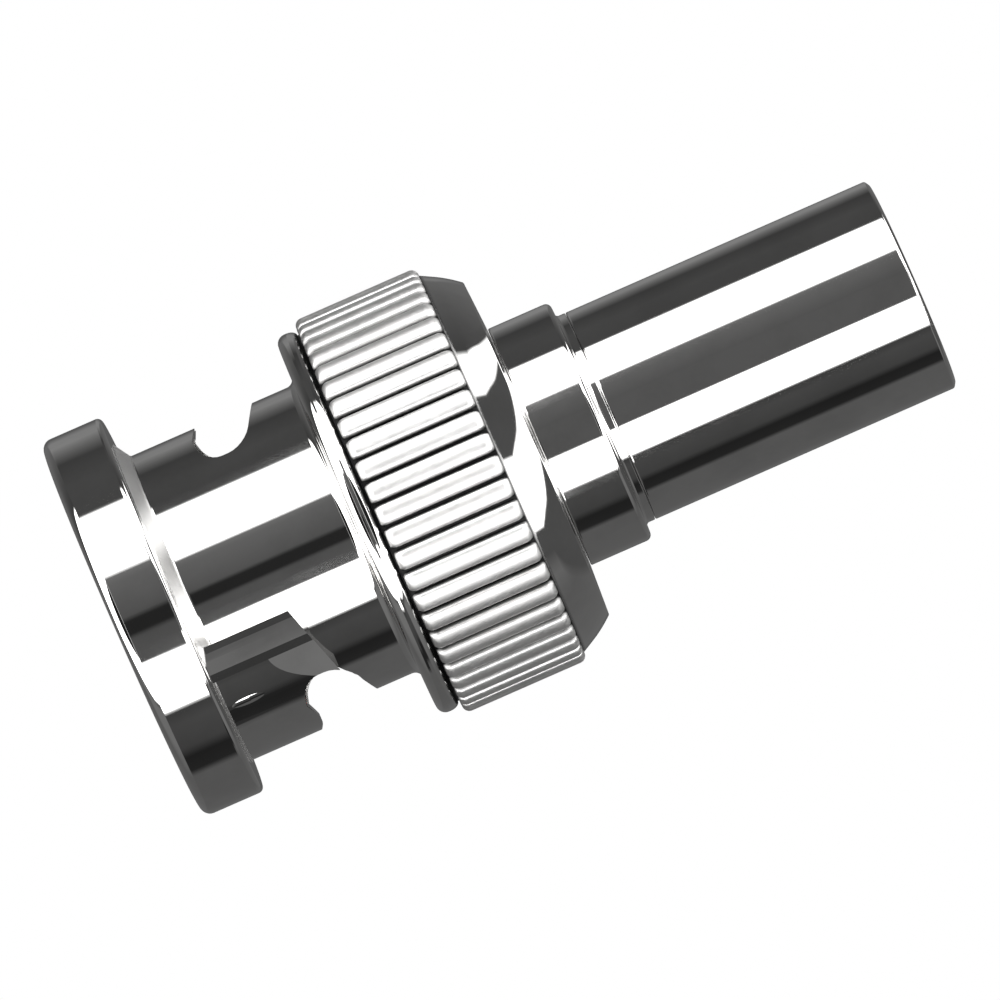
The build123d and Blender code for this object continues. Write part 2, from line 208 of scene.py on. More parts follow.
for edges in (upper_card_edges, lower_card_edges, end_card_edges, back_card_edges):
    grey = maths(tree, "MAXIMUM", grey, roof_card(tree, direction, edges))
roof_light = mix(tree, grey, (1, 1, 1, 1), grey_share(roof_grey))
light = mix(tree, value_range(tree, level, roof_low, roof_high), ring_light, roof_light)
off_middle = maths(tree, "DIVIDE", maths(tree, "SUBTRACT", turn, oval_middle), oval_half_width)
off_level = maths(tree, "DIVIDE", level, oval_half_height)
off_oval = maths(tree, "ADD", maths(tree, "POWER", off_middle, 2), maths(tree, "POWER", off_level, 2))
oval = value_range(tree, off_oval, 1 + oval_soft_edge, 1 - oval_soft_edge)
light = mix(tree, maths(tree, "MULTIPLY", oval, slanted), light, grey_share(oval_grey))
glow = add(tree, "ShaderNodeBackground", {"Color": light, "Strength": strip_light})
seen = white_to_camera(tree, glow, "ShaderNodeBackground")
add(tree, "ShaderNodeOutputWorld", {"Surface": seen.outputs[0]})

# Camera: level with the plug's middle and square to its side, rolled so that the plug lies up to
# the right as in the photograph.
camera_distance = 420 * mm
camera_height = 13.65 * mm
camera_aside = 1.115 * mm
camera_roll = math.radians(23.7)
picture_pixels = 1000
pixels_per_mm = 29.15
picture_width = picture_pixels / pixels_per_mm * mm
sensor = 36.0
camera_data = bpy.data.cameras.new("camera")
camera_data.sensor_width = sensor
camera_data.lens = sensor * camera_distance / picture_width
camera_data.clip_start = 0.01
camera_data.clip_end = 50
camera = bpy.data.objects.new("camera", camera_data)
scene.collection.objects.link(camera)
across = Vector((math.sin(camera_roll), 0, math.cos(camera_roll)))
upward = Vector((-math.cos(camera_roll), 0, math.sin(camera_roll)))
backward = Vector((0, -1, 0))
view_axes = Matrix((across, upward, backward)).transposed().to_4x4()
camera.matrix_world = Matrix.Translation((camera_aside, -camera_distance, camera_height)) @ view_axes
scene.camera = camera

# Finishes: bright nickel plate on the outside parts, silver-coloured and gold plate on the contacts,
# and the plain plastics, rubber and resistor parts inside. Their marks follow the part in millimetres.
cloud_scale = 0.45
cloud_start = 0.42
cloud_full = 0.68
grain_scale = 9.0
waves_scale = 0.32
rings_scale = (0.15, 0.15, 14)
grain_low = 0.3
grain_high = 0.7
uneven_part = 0.15
stained_part = 1.6
glow_depth = 0.3


def new_group(name, outputs):
    """A node group with one vector input, Place, and some value outputs."""
    group = bpy.data.node_groups.new(name, "ShaderNodeTree")
    group.interface.new_socket("Place", in_out="INPUT", socket_type="NodeSocketVector")
    for output in outputs:
        group.interface.new_socket(output, in_out="OUTPUT", socket_type="NodeSocketFloat")
    return group, add(group, "NodeGroupInput").outputs["Place"], add(group, "NodeGroupOutput")


# Cloud is a soft stain, Grain a fine unevenness, Waves the slow unevenness that bends the mirrored
# strips, and Rings the fine marks of a turning tool round the axis.
marks_group, marks_place, marks_out = new_group("surface_marks", ("Cloud", "Grain", "Waves", "Rings"))
cloud = add(marks_group, "ShaderNodeTexNoise", {"Vector": marks_place, "Scale": cloud_scale, "Detail": 4,
                                                "Roughness": 0.6})
cloud_part = value_range(marks_group, cloud.outputs[0], cloud_start, cloud_full)
grain = add(marks_group, "ShaderNodeTexNoise", {"Vector": marks_place, "Scale": grain_scale, "Detail": 3})
waves = add(marks_group, "ShaderNodeTexNoise", {"Vector": marks_place, "Scale": waves_scale, "Detail": 1,
                                                "Roughness": 0.3})
squeezed = add(marks_group, "ShaderNodeVectorMath", {0: marks_place, 1: rings_scale}, operation="MULTIPLY")
rings = add(marks_group, "ShaderNodeTexNoise", {"Vector": squeezed.outputs[0], "Scale": 1, "Detail": 4,
                                                "Roughness": 0.7})
for name, value in (("Cloud", cloud_part), ("Grain", grain.outputs[0]), ("Waves", waves.outputs[0]),
                    ("Rings", rings.outputs[0])):
    marks_group.links.new(value, marks_out.inputs[name])


def start_finish(slot_name):
    """A new material of the slot's name, the place on the part in millimetres, and the marks there."""
    finish_material = bpy.data.materials.new(slot_name)
    tree = new_nodes(finish_material)
    place = add(tree, "ShaderNodeTexCoord").outputs["Object"]
    to_mm = {0: place, 1: (1 / mm,) * 3}
    place_mm = add(tree, "ShaderNodeVectorMath", to_mm, operation="MULTIPLY").outputs[0]
    marks = add(tree, "ShaderNodeGroup", node_tree=marks_group)
    tree.links.new(place_mm, marks.inputs["Place"])
    return finish_material, tree, place_mm, marks.outputs


def relief(tree, parts, normal=None):
    """A normal from several heights, each with its depth in millimetres."""
    for value, depth in parts:
        bump = add(tree, "ShaderNodeBump", {"Height": value, "Distance": depth * mm, "Strength": 1})
        if normal is not None:
            tree.links.new(normal, bump.inputs["Normal"])
        normal = bump.outputs[0]
    return normal


def shade(colour, part):
    """A darker colour."""
    return tuple(channel * part for channel in colour[:3]) + (1,)


def uneven(tree, grain, roughness):
    """A roughness that varies a little with the grain."""
    return value_range(tree, grain, grain_low, grain_high, roughness * (1 - uneven_part),
                       roughness * (1 + uneven_part))


def metal(slot_name, colour, roughness, depths, stain=0.88):
    """A plated or bare metal. Depths are those of its grain, waves and rings, in millimetres."""
    material, tree, _, marks = start_finish(slot_name)
    base = mix(tree, marks["Cloud"], colour, shade(colour, stain))
    rough = value_range(tree, marks["Cloud"], 0, 1, roughness, roughness * stained_part)
    normal = relief(tree, zip((marks["Grain"], marks["Waves"], marks["Rings"]), depths))
    surface = add(tree, "ShaderNodeBsdfPrincipled", {"Base Color": base, "Metallic": 1, "Roughness": rough,
                                                     "Normal": normal})
    add(tree, "ShaderNodeOutputMaterial", {"Surface": surface.outputs[0]})
    return material


def plastic(slot_name, colour, roughness, depths, stain=0.94, glow_through=0.0):
    """A plastic, rubber, ceramic or lacquer. Depths are those of its grain, waves and rings."""
    material, tree, _, marks = start_finish(slot_name)
    base = mix(tree, marks["Cloud"], colour, shade(colour, stain))
    normal = relief(tree, zip((marks["Grain"], marks["Waves"], marks["Rings"]), depths))
    surface = add(tree, "ShaderNodeBsdfPrincipled", {
        "Base Color": base, "Roughness": uneven(tree, marks["Grain"], roughness), "Normal": normal,
        "Subsurface Weight": glow_through, "Subsurface Scale": glow_depth * mm,
        "Subsurface Radius": (1, 1, 1)})
    add(tree, "ShaderNodeOutputMaterial", {"Surface": surface.outputs[0]})
    return material


nickel = (0.685, 0.68, 0.672, 1)
finishes = {
    "body_plating": metal("body_plating", nickel, 0.032, (0.0001, 0.002, 0.00003), 0.9),
    "contact_plating": metal("contact_plating", (0.74, 0.73, 0.70, 1), 0.14, (0.001, 0.004, 0.001)),
    "gold_plating": metal("gold_plating", (0.93, 0.68, 0.27, 1), 0.16, (0.001, 0.004, 0.001)),
    "spring_steel": metal("spring_steel", (0.56, 0.56, 0.57, 1), 0.24, (0.002, 0.006, 0)),
    "tinned_metal": metal("tinned_metal", (0.70, 0.70, 0.70, 1), 0.3, (0.004, 0.02, 0)),
    "white_insulator": plastic("white_insulator", (0.88, 0.88, 0.86, 1), 0.42, (0.002, 0.004, 0.002), 0.95,
                               0.3),
    "gasket_rubber": plastic("gasket_rubber", (0.52, 0.13, 0.08, 1), 0.6, (0.006, 0.02, 0), 0.85),
    "resistor_ceramic": plastic("resistor_ceramic", (0.84, 0.81, 0.74, 1), 0.6, (0.006, 0.01, 0)),
    "resistor_lacquer": plastic("resistor_lacquer", (0.12, 0.30, 0.44, 1), 0.22, (0.001, 0.03, 0)),
    "tube_plastic": plastic("tube_plastic", (0.82, 0.80, 0.72, 1), 0.45, (0.003, 0.01, 0.001), 0.95, 0.2),
}

# Coupling nut: one zinc casting, turned inside and nickel plated, which turns on the plug's neck. A
# flange with a thin sleeve behind it, then a plain ridge, a fluted grip and a rounded tail.
round_steps = 6
fine_steps = 360
smooth_angle = math.radians(32)
same_point = 0.0004
long_side = 0.5
holding_step = 0.03
nut_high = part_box("coupling_nut")[1]
nut_end = nut_high.z / mm
grip_r = nut_high.x / mm
flange_r = 7.0
flange_length = 2.25
flange_front_edge = 0.36
flange_edge = 0.2
sleeve_r = 5.35
cone_r = 5.98
cone_length = 0.4
root_round = 0.1
ridge_start = 8.8
ridge_end = 9.56
ridge_r = 7.06
ridge_root_round = 0.3
ridge_round = 0.34
groove_r = 6.85
grip_start = 9.62
grip_end = 14.2
grip_round = 0.26
flute_depth = 0.3
flute_count = 54
tail_r = 6.62
tail_start = 15.0
tail_shoulder_round = 4.0
tail_end_r = 6.22
tail_round = 0.1
dish_depth = 0.1
dish_r = 4.425
lip_r = 3.93
lip_low = 11.94
bore_r = 4.9
bore_lead = 0.25


def rounded_section(form, outline):
    """A half section of (radius, height) corners. A third value is a round, cut by a corner bevel. Long
    sides get a point close to each end, so that the shading of a round stays out of them."""
    corners = [form.verts.new((corner[0], 0, corner[1])) for corner in outline]
    form.faces.new(corners)
    places = [corner.co.copy() for corner in corners]
    for index, corner in enumerate(corners):
        if len(outline[index]) == 3:
            before = (places[index - 1] - places[index]).normalized()
            after = (places[(index + 1) % len(places)] - places[index]).normalized()
            reach = outline[index][2] / math.tan(before.angle(after) / 2)
            bmesh.ops.bevel(form, geom=[corner], offset=reach, offset_type="OFFSET", segments=round_steps,
                            profile=0.5, affect="VERTICES", material=-1)
    bmesh.ops.delete(form, geom=form.faces[:], context="FACES_ONLY")
    on_axis = [side for side in form.edges if all(abs(point.co.x) < same_point for point in side.verts)]
    bmesh.ops.delete(form, geom=on_axis, context="EDGES")
    for side in form.edges[:]:
        length = side.calc_length()
        if length > long_side:
            for share in (holding_step / length, 1 - holding_step / (length - holding_step)):
                bmesh.ops.bisect_edges(form, edges=[side], cuts=1, edge_percents={side: share})


def close_up(form):
    """Merges the seam and the poles, and turns the faces outwards."""
    bmesh.ops.remove_doubles(form, verts=form.verts[:], dist=same_point)
    bmesh.ops.recalc_face_normals(form, faces=form.faces[:])


def form_of(form, name):
    """A form in millimetres as an object."""
    mesh = bpy.data.meshes.new(name)
    form.to_mesh(mesh)
    form.free()
    piece = bpy.data.objects.new(name, mesh)
    scene.collection.objects.link(piece)
    return piece


def turned(name, outline, steps=fine_steps):
    """A turned form from its half section."""
    form = bmesh.new()
    rounded_section(form, outline)
    bmesh.ops.spin(form, geom=form.verts[:] + form.edges[:], cent=(0, 0, 0), axis=(0, 0, 1),
                   angle=math.tau, steps=steps, use_merge=True)
    close_up(form)
    return form_of(form, name)


def turn_about_axis(form, angle):
    bmesh.ops.rotate(form, verts=form.verts[:], cent=(0, 0, 0), matrix=Matrix.Rotation(angle, 3, "Z"))


def pull_out(form, shift):
    """Draws the flat face of a form out into a block."""
    pulled = bmesh.ops.extrude_face_region(form, geom=form.faces[:])["geom"]
    ends = [part for part in pulled if isinstance(part, bmesh.types.BMVert)]
    bmesh.ops.translate(form, verts=ends, vec=shift)
    bmesh.ops.recalc_face_normals(form, faces=form.faces[:])


def combine(piece, other, operation):
    """Joins a second form to the first, or cuts it away or to it. The second one is used up."""
    cut = piece.modifiers.new("cut", "BOOLEAN")
    cut.operation = operation
    cut.object = other
    cut.solver = "MANIFOLD"
    graph = bpy.context.evaluated_depsgraph_get()
    mesh = bpy.data.meshes.new_from_object(piece.evaluated_get(graph))
    piece.modifiers.clear()
    used = piece.data
    piece.data = mesh
    bpy.data.meshes.remove(used)
    bpy.data.meshes.remove(other.data)


def finish(piece, body, slot_name, node_name):
    """Brings a finished form to metres, shades it and puts it in the place of its node."""
    piece.data.transform(Matrix.Scale(mm, 4))
    piece.data.shade_smooth()
    creases = [edge.index for edge in piece.data.edges if edge.use_edge_sharp]
    piece.data.set_sharp_from_angle(angle=smooth_angle)
    for index in creases:
        piece.data.edges[index].use_edge_sharp = True
    piece.data.materials.clear()
    piece.data.materials.append(finishes[slot_name])
    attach(piece, body)
    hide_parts(node_name)


nut_outline = (
    (bore_r + bore_lead, 0),
    (flange_r, 0, flange_front_edge),
    (flange_r, flange_length, flange_edge),
    (cone_r, flange_length, root_round),
    (sleeve_r, flange_length + cone_length, root_round),
    (sleeve_r, ridge_start, ridge_root_round),
    (ridge_r, ridge_start, ridge_round),
    (ridge_r, ridge_end, ridge_round),
    (groove_r, ridge_end),
    (groove_r, grip_start),
    (grip_r - flute_depth, grip_start),
    (grip_r, grip_start, grip_round),
    (grip_r, grip_end, grip_round),
    (grip_r - flute_depth, grip_end),
    (tail_r, tail_start, tail_shoulder_round),
    (tail_end_r, nut_end - dish_depth, tail_round),
    (dish_r, nut_end),
    (lip_r, nut_end),
    (lip_r, lip_low),
    (bore_r, lip_low),
    (bore_r, bore_lead),
)
# Lines along each land of the grip: the angle from the middle of the flute in degrees, and the height
# there as a share of the flute's depth.
flute_lines = ((0.3, 0.0), (0.52, 0.35), (0.72, 0.66), (0.95, 0.78), (1.4, 0.87), (2.0, 0.94), (2.7, 0.985))
half_pitch = 180 / flute_count
land_lines = flute_lines + ((half_pitch, 1.0),)
corner_length = 0.3
corner_turn = 0.8


def land_height(turn, from_end):
    """The height of a land, as a share of the flute's depth, at an angle from the flute's middle."""
    if from_end < corner_length:
        turn -= corner_turn * (1 - math.sqrt(1 - (1 - from_end / corner_length) ** 2))
    before = (0.0, 0.0)
    for line in land_lines:
        if turn <= line[0]:
            return before[1] + max(0, turn - before[0]) / (line[0] - before[0]) * (line[1] - before[1])
        before = line
    return 1.0


knurled = bmesh.new()
rounded_section(knurled, nut_outline)
turn_about_axis(knurled, math.radians(-half_pitch))
line_turns = [-turn for turn, _ in reversed(flute_lines)] + [0] + [turn for turn, _ in land_lines]
edge = knurled.verts[:] + knurled.edges[:]
reached = -half_pitch
for line_turn in line_turns:
    edge = bmesh.ops.spin(knurled, geom=edge, cent=(0, 0, 0), axis=(0, 0, 1),
                          angle=math.radians(line_turn - reached), steps=1)["geom_last"]
    reached = line_turn
floor_r = grip_r - flute_depth
for point in knurled.verts:
    radius = math.hypot(point.co.x, point.co.y)
    from_end = min(point.co.z - grip_start, grip_end - point.co.z)
    if radius > floor_r and from_end > -same_point:
        turn = abs(math.degrees(math.atan2(point.co.y, point.co.x)))
        part = (floor_r + (radius - floor_r) * land_height(turn, max(from_end, 0))) / radius
        point.co.x *= part
        point.co.y *= part
one_pitch = knurled.verts[:] + knurled.edges[:] + knurled.faces[:]
bmesh.ops.spin(knurled, geom=one_pitch, cent=(0, 0, 0), axis=(0, 0, 1),
               angle=math.tau * (flute_count - 1) / flute_count, steps=flute_count - 1, use_duplicate=True)
close_up(knurled)
nut = form_of(knurled, "nut_casting")

# The raised covers of the two lug tracks: thicker places in the sleeve with a step along one side, a
# narrow hollow strip and a crease beside it, and a slanting facet towards the window.
strip_section = ((1.66, 4.9), (1.66, 5.46), (1.9, 5.47), (2.15, 5.51), (2.62, 5.63), (2.9, 5.64), (2.9, 4.4))
cover_side = 2.7
cover_r = 5.87
far_cover_reach = 5.3
cover_inner_r = 5.1
cover_low = 1.2
cover_front = 5.56
cover_slope = 0.31
cover_steps = 30
facet_turn = math.radians(28)
facet_tilt = math.radians(10)
facet_distance = 6.522
crease_angle = math.radians(6)


def on_circle(radius, across):
    """A point of the -Y half of a circle round the axis."""
    return (across, -math.sqrt(radius ** 2 - across ** 2), cover_low)


def cover_block(name, outline, planes, angle):
    """A block of the -Y half with a flat outline, cut off by planes and then turned round the axis."""
    form = bmesh.new()
    form.faces.new([form.verts.new(point) for point in outline])
    pull_out(form, (0, 0, ridge_start - cover_low))
    for plane, outward in planes:
        whole = form.verts[:] + form.edges[:] + form.faces[:]
        cut = bmesh.ops.bisect_plane(form, geom=whole, plane_co=plane, plane_no=Vector(outward).normalized(),
                                     clear_outer=True)
        rim = [part for part in cut["geom_cut"] if isinstance(part, bmesh.types.BMEdge)]
        bmesh.ops.holes_fill(form, edges=rim)
    turn_about_axis(form, angle)
    bmesh.ops.recalc_face_normals(form, faces=form.faces[:])
    for side in form.edges:
        side.smooth = side.calc_face_angle(0) < crease_angle
    return form_of(form, name)


def wall_outline(reach):
    """The curved part of a cover, out to a distance from the axis along X."""
    last = min(reach, cover_r - same_point)
    outline = []
    for index in range(cover_steps + 1):
        share = math.sin(math.pi / 2 * index / cover_steps)
        outline.append(on_circle(cover_r, cover_side + (last - cover_side) * share))
    inner_side = [on_circle(cover_inner_r, min(reach, cover_inner_r)), on_circle(cover_inner_r, cover_side)]
    return outline + inner_side


facet_outward = Vector((math.cos(facet_tilt) * math.sin(facet_turn),
                        -math.cos(facet_tilt) * math.cos(facet_turn), math.sin(facet_tilt)))
facet_plane = (facet_outward * facet_distance, facet_outward)
front_plane = ((strip_section[0][0], 0, cover_front), (-cover_slope, 0, 1))
strip_outline = [(across, -depth, cover_low) for across, depth in strip_section]
for cover_reach, angle in ((cover_r, 0), (far_cover_reach, math.pi)):
    wall = cover_block("cover_wall", wall_outline(cover_reach), (front_plane, facet_plane), angle)
    combine(nut, wall, "UNION")
    strip = cover_block("cover_strip", strip_outline, (front_plane,), angle)
    combine(nut, strip, "UNION")

# The see-through windows, and the lug tracks cut from inside: in from the mating face, then up a ramp.
window_floor = 4.07
window_pocket = 4.8
window_front = 5.03
window_rise = 0.2
window_flare = 4.75
window_flare_start = 5.67
window_flare_end = 6.12
window_flare_round = 0.3
window_floor_end = 6.47
window_back = 7.2
window_front_round = 0.75
window_back_round = 1.1
beyond = 7.6
window_slope = (window_back - window_floor_end) / (sleeve_r - window_floor)
window_outline = (
    (window_floor, window_pocket + window_rise, window_front_round),
    (bore_r, window_pocket),
    (sleeve_r, window_front),
    (window_flare_start, window_front, window_flare_round),
    (window_flare_end, window_flare),
    (beyond, window_flare),
    (beyond, window_floor_end + window_slope * (beyond - window_floor)),
    (window_floor, window_floor_end, window_back_round),
)
track_width = 2.1
track_root_r = 5.62
entry_angle = math.radians(32)
entry_depth = 4.3
ramp_turn = math.radians(34)
ramp_rise = 1.55
slot_segments = 48


def window_block(angle):
    form = bmesh.new()
    rounded_section(form, window_outline)
    bmesh.ops.edgeloop_fill(form, edges=form.edges[:])
    bmesh.ops.translate(form, verts=form.verts[:], vec=(0, -beyond, 0))
    pull_out(form, (0, 2 * beyond, 0))
    turn_about_axis(form, angle)
    return form_of(form, "window")


def slot_block(angle, height, length, tilt):
    """A round-ended slot that runs outwards from the axis, at an angle round it from -Y towards +X."""
    form = bmesh.new()
    bmesh.ops.create_circle(form, cap_ends=True, segments=slot_segments, radius=track_width / 2)
    turn_about_axis(form, math.pi / slot_segments)
    for point in form.verts:
        point.co.x += math.copysign(length / 2, point.co.x)
    pull_out(form, (0, 0, flange_r))
    outward = Vector((math.sin(angle), -math.cos(angle), 0))
    onward = Vector((math.cos(angle), math.sin(angle), 0))
    along = onward * math.cos(tilt) + Vector((0, 0, math.sin(tilt)))
    axes = Matrix((along, outward.cross(along), outward)).transposed()
    bmesh.ops.rotate(form, verts=form.verts[:], cent=(0, 0, 0), matrix=axes)
    bmesh.ops.translate(form, verts=form.verts[:], vec=(0, 0, height))
    return form_of(form, "slot")


half_run = bore_r * math.sin(ramp_turn / 2)
ramp_length = math.hypot(ramp_rise, 2 * half_run)
ramp_tilt = math.atan2(ramp_rise, 2 * half_run)
for angle in (0, math.pi):
    combine(nut, window_block(angle), "DIFFERENCE")
    track = slot_block(angle + entry_angle, 0, 2 * entry_depth, math.pi / 2)
    ramp_angle = angle + entry_angle + ramp_turn / 2
    combine(track, slot_block(ramp_angle, entry_depth + ramp_rise / 2, ramp_length, ramp_tilt), "UNION")
    reach_ring = turned("track_reach", ((bore_r / 2, -track_width), (track_root_r, -track_width),
                                        (track_root_r, ridge_start), (bore_r / 2, ridge_start)))
    combine(track, reach_ring, "INTERSECT")
    combine(nut, track, "DIFFERENCE")

# The nut's plating is a mirror outside, satin on the lands of the grip, in the bore and on the cone behind
# the flange, and its colour is painted near black down in the flutes as shade.
mirror_rough = 0.03
stain_rough = 0.05
plating_stain = 0.9
grip_rough = 0.5
grip_fade = 0.12
grip_inner_r = 6.55
inner_fade = 0.1
# Painted shade: a near-black colour for the flutes, fading out between these heights above the flute floor.
painted_flute_shade = (0.015, 0.015, 0.015, 1)
flute_shade_start = 0.02
flute_shade_end = 0.186
bore_rough = 0.26
bore_fade_start = 0.1
bore_fade_end = 0.4
cone_rough = 0.35
cone_fade = 0.02
cone_fade_start = 0.04
mark_across = 3.9
mark_height = 3.1
mark_half_width = 0.13
mark_half_length = 0.6
mark_depth = 0.035
nut_grain_depth = 0.0001
nut_waves_depth = 0.004
axis_fade = 0.1


def mix_values(tree, factor, first, second):
    return add(tree, "ShaderNodeMix", {0: factor, 2: first, 3: second}).outputs[0]


material, tree, place_mm, marks = start_finish("nut_plating")
finishes["nut_plating"] = material
spread = add(tree, "ShaderNodeSeparateXYZ", {0: place_mm})
flat_place = add(tree, "ShaderNodeVectorMath", {0: place_mm, 1: (1, 1, 0)}, operation="MULTIPLY")
radius = add(tree, "ShaderNodeVectorMath", {0: flat_place.outputs[0]}, operation="LENGTH").outputs["Value"]
along_axis = spread.outputs["Z"]
behind_ridge = value_range(tree, along_axis, ridge_end - grip_fade, ridge_end)
before_tail = value_range(tree, along_axis, grip_end, grip_end + grip_fade, 1, 0)
on_grip = maths(tree, "MULTIPLY", behind_ridge, before_tail)
outside = value_range(tree, radius, grip_inner_r, grip_inner_r + inner_fade)
on_grip = maths(tree, "MULTIPLY", on_grip, outside)
# Painted shade: down in the grip's flutes the base colour goes near black, in place of the shade there.
low_down = value_range(tree, radius, floor_r + flute_shade_start, floor_r + flute_shade_end, 1, 0)
flute_shade_mask = maths(tree, "MULTIPLY", on_grip, low_down)
in_bore = value_range(tree, radius, bore_r + bore_fade_start, bore_r + bore_fade_end, 1, 0)
base = mix(tree, marks["Cloud"], nickel, shade(nickel, plating_stain))
base = mix(tree, flute_shade_mask, base, painted_flute_shade)
rough = value_range(tree, marks["Cloud"], 0, 1, mirror_rough, stain_rough)
rough = mix_values(tree, on_grip, rough, uneven(tree, marks["Grain"], grip_rough))
rough = mix_values(tree, in_bore, rough, bore_rough)
behind_flange = value_range(tree, along_axis, flange_length, flange_length + cone_fade)
cone_slope = (cone_r - sleeve_r) / cone_length
cone_limit = cone_r + flange_length * cone_slope + cone_fade_start
off_cone = maths(tree, "ADD", radius, maths(tree, "MULTIPLY", along_axis, cone_slope))
under_cone = value_range(tree, off_cone, cone_limit, cone_limit + cone_fade, 1, 0)
on_cone = maths(tree, "MULTIPLY", behind_flange, under_cone)
rough = mix_values(tree, on_cone, rough, cone_rough)
# One cover has a small raised mark from the mould, beside the window.
aside = maths(tree, "DIVIDE", maths(tree, "SUBTRACT", spread.outputs["X"], mark_across), mark_half_width)
along = maths(tree, "DIVIDE", maths(tree, "SUBTRACT", along_axis, mark_height), mark_half_length)
off_mark = maths(tree, "ADD", maths(tree, "POWER", aside, 2), maths(tree, "POWER", along, 2))
near_side = value_range(tree, spread.outputs["Y"], -axis_fade, 0, 1, 0)
mark = maths(tree, "MULTIPLY", value_range(tree, off_mark, 0, 1, 1, 0), near_side)
normal = relief(tree, ((marks["Grain"], nut_grain_depth), (marks["Waves"], nut_waves_depth),
                       (mark, mark_depth)))
surface = add(tree, "ShaderNodeBsdfPrincipled", {"Base Color": base, "Metallic": 1, "Roughness": rough,
                                                 "Normal": normal})
add(tree, "ShaderNodeOutputMaterial", {"Surface": surface.outputs[0]})
finish(nut, "nut", "nut_plating", "coupling_nut")

# Connector body: turned brass with bright nickel plate. Its collar shows behind the nut; the neck inside
# the nut carries the clip and washers, and the spigot inside the barrel holds the resistor.
fit_gap = 0.02
neck_front = 9.86
neck_r = 3.85
clip_groove_front = 10.2
clip_groove_back = 10.69
clip_groove_r = 3.5
collar_front = 15.62
collar_back = 17.92
collar_r = 4.425
collar_back_round = 0.22
foot_r = 3.865
foot_end = 18.26
foot_fillet = 0.12
foot_round = 0.03
spigot_r = 3.3
spigot_end = 27.28
turned_edge = 0.05
contact_hole_r = 3.02
contact_hole_end = 12.08
insulator_hole_r = 2.6
insulator_hole_end = 16.0
chamber_r = 2.4
disc_r = 2.7
disc_seat = 26.28
body = turned("turned_body", (
    (contact_hole_r, neck_front),
    (neck_r, neck_front, turned_edge),
    (neck_r, clip_groove_front),
    (clip_groove_r, clip_groove_front),
    (clip_groove_r, clip_groove_back),
    (neck_r, clip_groove_back),
    (neck_r, collar_front),
    (collar_r, collar_front, turned_edge),
    (collar_r, collar_back, collar_back_round),
    (foot_r, collar_back, foot_fillet),
    (foot_r, foot_end, foot_round),
    (spigot_r, foot_end),
    (spigot_r, spigot_end),
    (disc_r, spigot_end),
    (disc_r, disc_seat),
    (chamber_r, disc_seat),
    (chamber_r, insulator_hole_end),
    (insulator_hole_r, insulator_hole_end),
    (insulator_hole_r, contact_hole_end),
    (contact_hole_r, contact_hole_end),
))
finish(body, "plug", "body_plating", "connector_body")

# Barrel: turned from brass bar with a closed end, nickel plated like the body and pressed over its spigot.
barrel_front = foot_end + fit_gap
barrel_back = 29.58
barrel_r = foot_r
barrel_bore_r = spigot_r + fit_gap
barrel_end_wall = 0.9
end_chamfer_length = 0.11
end_chamfer_width = 0.18
end_chamfer_round = 0.1
barrel = turned("turned_barrel", (
    (barrel_bore_r, barrel_front),
    (barrel_r, barrel_front, turned_edge),
    (barrel_r, barrel_back - end_chamfer_length, end_chamfer_round),
    (barrel_r - end_chamfer_width, barrel_back, turned_edge),
    (0, barrel_back),
    (0, barrel_back - barrel_end_wall),
    (barrel_bore_r, barrel_back - barrel_end_wall),
))
finish(barrel, "plug", "body_plating", "barrel")

# Outer contact: a plated spring bronze sleeve, slotted into six fingers that grip the inside of the
# socket. Its flange sits against the body and backs the gasket.
inner_steps = 240
contact_r = 4.05
contact_bore_r = 3.3
contact_front = 0.6
contact_lead = 0.3
contact_tip_round = 0.06
contact_lead_round = 0.1
gasket_seat_r = 3.83
gasket_seat_front = 8.54
gasket_seat_back = 9.36
seat_edge = 0.03
contact_flange_r = 4.72
contact_flange_edge = 0.04
contact_tail_r = 3.0
contact_tail_end = 12.06
contact_tail_bore_r = 2.6
contact_bore_end = 8.92
finger_end = 7.6
finger_slot = 0.4
finger_pairs = 3
slot_reach = 10
slot_lead = 0.2
first_slot_angle = math.radians(20)
contact = turned("contact_sleeve", (
    (contact_bore_r, contact_front, contact_tip_round),
    (contact_r - contact_lead, contact_front, contact_tip_round),
    (contact_r, contact_front + contact_lead, contact_lead_round),
    (contact_r, gasket_seat_front, seat_edge),
    (gasket_seat_r, gasket_seat_front),
    (gasket_seat_r, gasket_seat_back),
    (contact_flange_r, gasket_seat_back, contact_flange_edge),
    (contact_flange_r, neck_front, contact_flange_edge),
    (contact_tail_r, neck_front),
    (contact_tail_r, contact_tail_end),
    (contact_tail_bore_r, contact_tail_end),
    (contact_tail_bore_r, contact_bore_end),
    (contact_bore_r, contact_bore_end),
), inner_steps)
slot_front = contact_front - slot_lead
for index in range(finger_pairs):
    form = bmesh.new()
    bmesh.ops.create_cube(form, size=1)
    bmesh.ops.scale(form, verts=form.verts[:], vec=(finger_slot, slot_reach, finger_end - slot_front))
    bmesh.ops.translate(form, verts=form.verts[:], vec=(0, 0, (finger_end + slot_front) / 2))
    turn_about_axis(form, first_slot_angle + index * math.pi / finger_pairs)
    combine(contact, form_of(form, "finger_gap"), "DIFFERENCE")
finish(contact, "plug", "contact_plating", "outer_contact")

# Gasket: a moulded silicone ring round the root of the outer contact, which the socket's rim presses on.
gasket_bore_r = 3.85
gasket_r = 4.78
gasket_front = 8.66
gasket_back = 9.35
gasket_round = 0.18
gasket_inner_round = 0.1
gasket_back_round = 0.08
gasket = turned("moulded_gasket", (
    (gasket_bore_r, gasket_front, gasket_inner_round),
    (gasket_r, gasket_front, gasket_round),
    (gasket_r, gasket_back, gasket_back_round),
    (gasket_bore_r, gasket_back, gasket_back_round),
), inner_steps)
finish(gasket, "plug", "gasket_rubber", "gasket")

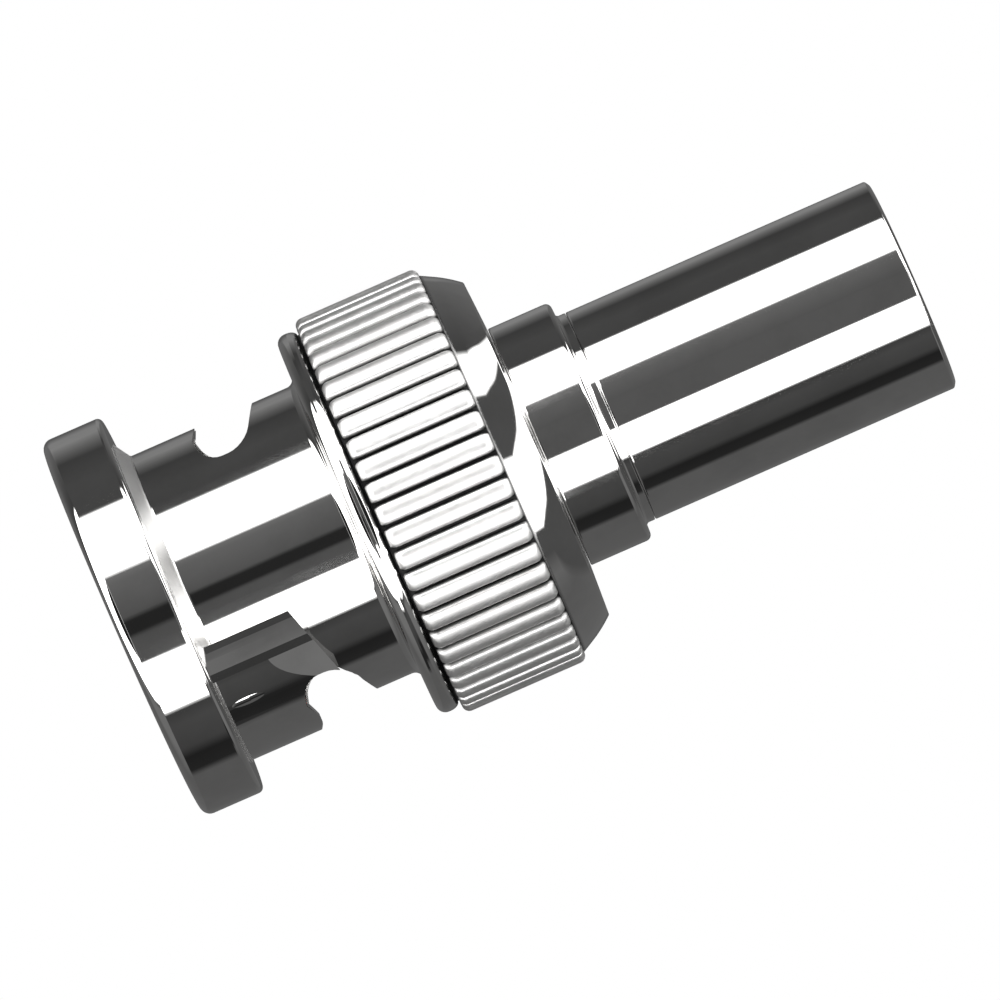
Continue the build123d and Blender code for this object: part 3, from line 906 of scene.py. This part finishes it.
# Front insulator: white fluoroplastic, turned, pushed into the outer contact from behind. It has a base
# round the pin and a tube that stays open to the front.
insulator_front = 1.9
insulator_base = 6.1
insulator_bore_r = 2.45
insulator_inner_round = 0.06
insulator_round = 0.08
pin_hole_r = 0.97
insulator = turned("front_dielectric", (
    (insulator_bore_r, insulator_front, insulator_inner_round),
    (contact_bore_r - fit_gap, insulator_front, insulator_round),
    (contact_bore_r - fit_gap, contact_bore_end - fit_gap),
    (contact_tail_bore_r - fit_gap, contact_bore_end - fit_gap),
    (contact_tail_bore_r - fit_gap, contact_tail_end),
    (pin_hole_r, contact_tail_end),
    (pin_hole_r, insulator_base),
    (insulator_bore_r, insulator_base, insulator_round),
), inner_steps)
finish(insulator, "plug", "white_insulator", "front_insulator")

# Contact pin: gold-plated brass with a round tip, held by its shoulder between the two insulators and
# soldered to the resistor's wire at the back.
pin_steps = 96
pin_front = 1.3
pin_r = 0.675
pin_tip_round = 0.45
stem_front = 6.05
stem_r = 0.95
shoulder_front = 12.08
shoulder_back = 12.88
shoulder_r = 1.35
cup_r = 0.9
cup_end = 15.82
cup_bore_r = 0.42
cup_floor = 13.62
pin = turned("gold_pin", (
    (0, pin_front),
    (pin_r, pin_front, pin_tip_round),
    (pin_r, stem_front),
    (stem_r, stem_front, turned_edge),
    (stem_r, shoulder_front),
    (shoulder_r, shoulder_front),
    (shoulder_r, shoulder_back),
    (cup_r, shoulder_back),
    (cup_r, cup_end),
    (cup_bore_r, cup_end),
    (cup_bore_r, cup_floor),
    (0, cup_floor),
), pin_steps)
finish(pin, "plug", "gold_plating", "contact_pin")

# The other parts are hidden inside the plug, or just show down in the nut's bore. They keep the solids'
# own forms and get their finishes.
hidden = {
    "spring_steel": ("retaining_clip", "front_washer", "wave_washer", "thrust_washer"),
    "white_insulator": ("rear_insulator",),
    "resistor_ceramic": ("resistor_core",),
    "resistor_lacquer": ("resistor_coating",),
    "tinned_metal": ("resistor_front_cap", "resistor_rear_cap", "resistor_front_lead", "resistor_rear_lead",
                     "front_solder", "rear_solder"),
    "body_plating": ("earth_disc",),
    "tube_plastic": ("insulating_tube",),
}
for slot_name, node_names in hidden.items():
    for node_name in node_names:
        mesh = nodes[node_name].data
        mesh.materials.clear()
        mesh.materials.append(finishes[slot_name])
